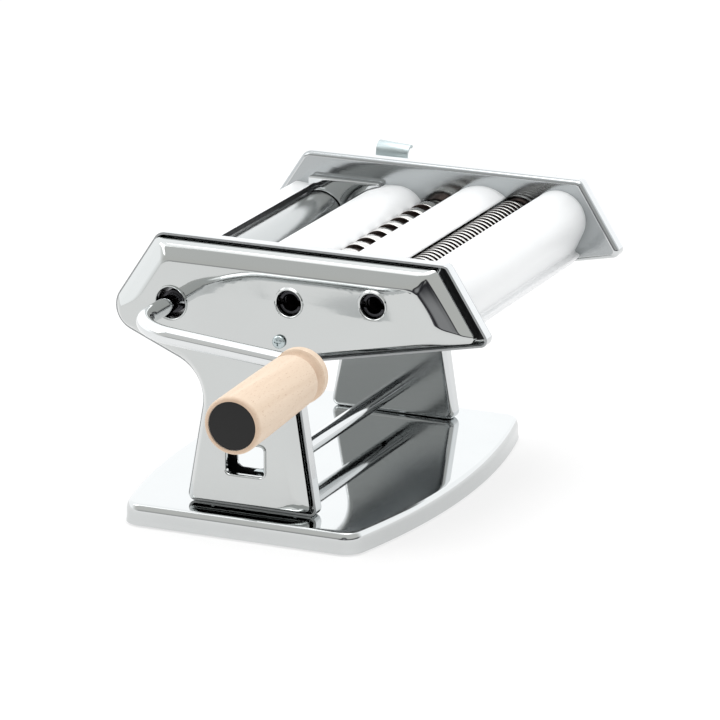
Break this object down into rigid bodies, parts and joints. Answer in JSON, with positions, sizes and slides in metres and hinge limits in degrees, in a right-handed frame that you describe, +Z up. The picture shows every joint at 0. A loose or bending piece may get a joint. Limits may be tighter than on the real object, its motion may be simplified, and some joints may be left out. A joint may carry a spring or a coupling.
{
  "type": "pasta machine",
  "caption": "Hand-cranked pasta machine on a bowed base: smooth sheet rollers with a thickness lever, wide and narrow noodle cutters on gears, and a pull-out crank with a wooden grip.",
  "frame": {"origin": "on the table, under the middle of the base", "axes": "+X along the rollers towards the crank, +Y from the sheet rollers to the cutters, +Z up"},
  "size_m": [0.327, 0.1878, 0.1418],
  "materials": {
    "chrome": "mirror chrome plate",
    "zinc": "bright zinc plate",
    "steel": "plain turned steel",
    "dark_steel": "blackened steel",
    "nylon": "natural nylon",
    "rubber": "matt rubber",
    "black_plastic": "matt black",
    "beech": "bare sanded beech"
  },
  "bodies": {
    "frame": {"base_plate": "chrome", "rubber_feet": "rubber", "crank_side_plate": "chrome", "dial_side_plate": "chrome", "crank_side_cover": "chrome", "dial_side_cover": "chrome", "tie_rods": "steel", "tie_rod_nuts": "zinc", "cover_posts": "zinc", "cover_screws": "zinc", "base_screws": "steel", "front_guard": "chrome", "roller_guard": "chrome", "cutter_guard": "chrome", "rear_guard": "chrome", "dough_guides": "chrome", "drive_scraper": "steel", "adjust_scraper": "steel", "wide_drive_comb": "steel", "wide_mate_comb": "steel", "narrow_drive_comb": "steel", "narrow_mate_comb": "steel", "crank_side_bushes": "nylon", "dial_side_bushes": "nylon", "axle_bushes": "nylon"},
    "sheet_drive": {"drive_roller": "chrome", "drive_gear": "steel", "drive_socket": "dark_steel"},
    "crank": {"crank_rod": "chrome", "crank_pin": "steel"},
    "grip": {"grip": "beech", "grip_cap": "black_plastic"},
    "thickness_lever": {"eccentric_axle": "steel", "thickness_lever": "zinc", "lever_washer": "zinc", "lever_nut": "zinc"},
    "adjust_carrier": {"adjust_bearings": "nylon"},
    "adjust_roller": {"adjust_roller": "chrome", "adjust_gear": "steel"},
    "wide_drive": {"wide_drive_cutter": "chrome", "wide_drive_gear": "steel", "wide_socket": "dark_steel"},
    "wide_mate": {"wide_mate_cutter": "chrome", "wide_mate_gear": "steel"},
    "narrow_drive": {"narrow_drive_cutter": "chrome", "narrow_drive_gear": "steel", "narrow_socket": "dark_steel"},
    "narrow_mate": {"narrow_mate_cutter": "chrome", "narrow_mate_gear": "steel"}
  },
  "joints": [
    {"name": "sheet_drive_turn", "type": "hinge", "parent": "frame", "child": "sheet_drive", "pos_m": [0, -0.0366, 0.1074], "axis": [1, 0, 0], "continuous": true},
    {"name": "crank_pull", "type": "slide", "parent": "sheet_drive", "child": "crank", "axis": [1, 0, 0], "range_m": [0, 0.05]},
    {"name": "grip_spin", "type": "hinge", "parent": "crank", "child": "grip", "pos_m": [0.1345, 0.05306, 0.09956], "axis": [0.9988, 0.0487, -0.0043], "continuous": true},
    {"name": "lever_turn", "type": "hinge", "parent": "frame", "child": "thickness_lever", "pos_m": [0, -0.01015, 0.1058], "axis": [1, 0, 0], "range_deg": [-50, 50]},
    {"name": "carrier_shift", "type": "slide", "parent": "frame", "child": "adjust_carrier", "axis": [0, 1, 0], "range_m": [-0.00123, 0.00123]},
    {"name": "adjust_spin", "type": "hinge", "parent": "adjust_carrier", "child": "adjust_roller", "pos_m": [0, -0.01015, 0.1074], "axis": [1, 0, 0], "continuous": true},
    {"name": "wide_drive_turn", "type": "hinge", "parent": "frame", "child": "wide_drive", "pos_m": [0, 0.0223, 0.1138], "axis": [1, 0, 0], "continuous": true},
    {"name": "wide_mate_turn", "type": "hinge", "parent": "frame", "child": "wide_mate", "pos_m": [0, 0.0387, 0.1138], "axis": [1, 0, 0], "continuous": true},
    {"name": "narrow_drive_turn", "type": "hinge", "parent": "frame", "child": "narrow_drive", "pos_m": [0, 0.0635, 0.1173], "axis": [1, 0, 0], "continuous": true},
    {"name": "narrow_mate_turn", "type": "hinge", "parent": "frame", "child": "narrow_mate", "pos_m": [0, 0.0799, 0.1173], "axis": [1, 0, 0], "continuous": true}
  ],
  "couplings": [
    {"joint": "lever_turn", "follows": "carrier_shift", "rad_per_m": -712},
    {"joint": "adjust_spin", "follows": "sheet_drive_turn", "ratio": -1},
    {"joint": "wide_mate_turn", "follows": "wide_drive_turn", "ratio": -1},
    {"joint": "narrow_mate_turn", "follows": "narrow_drive_turn", "ratio": -1}
  ]
}
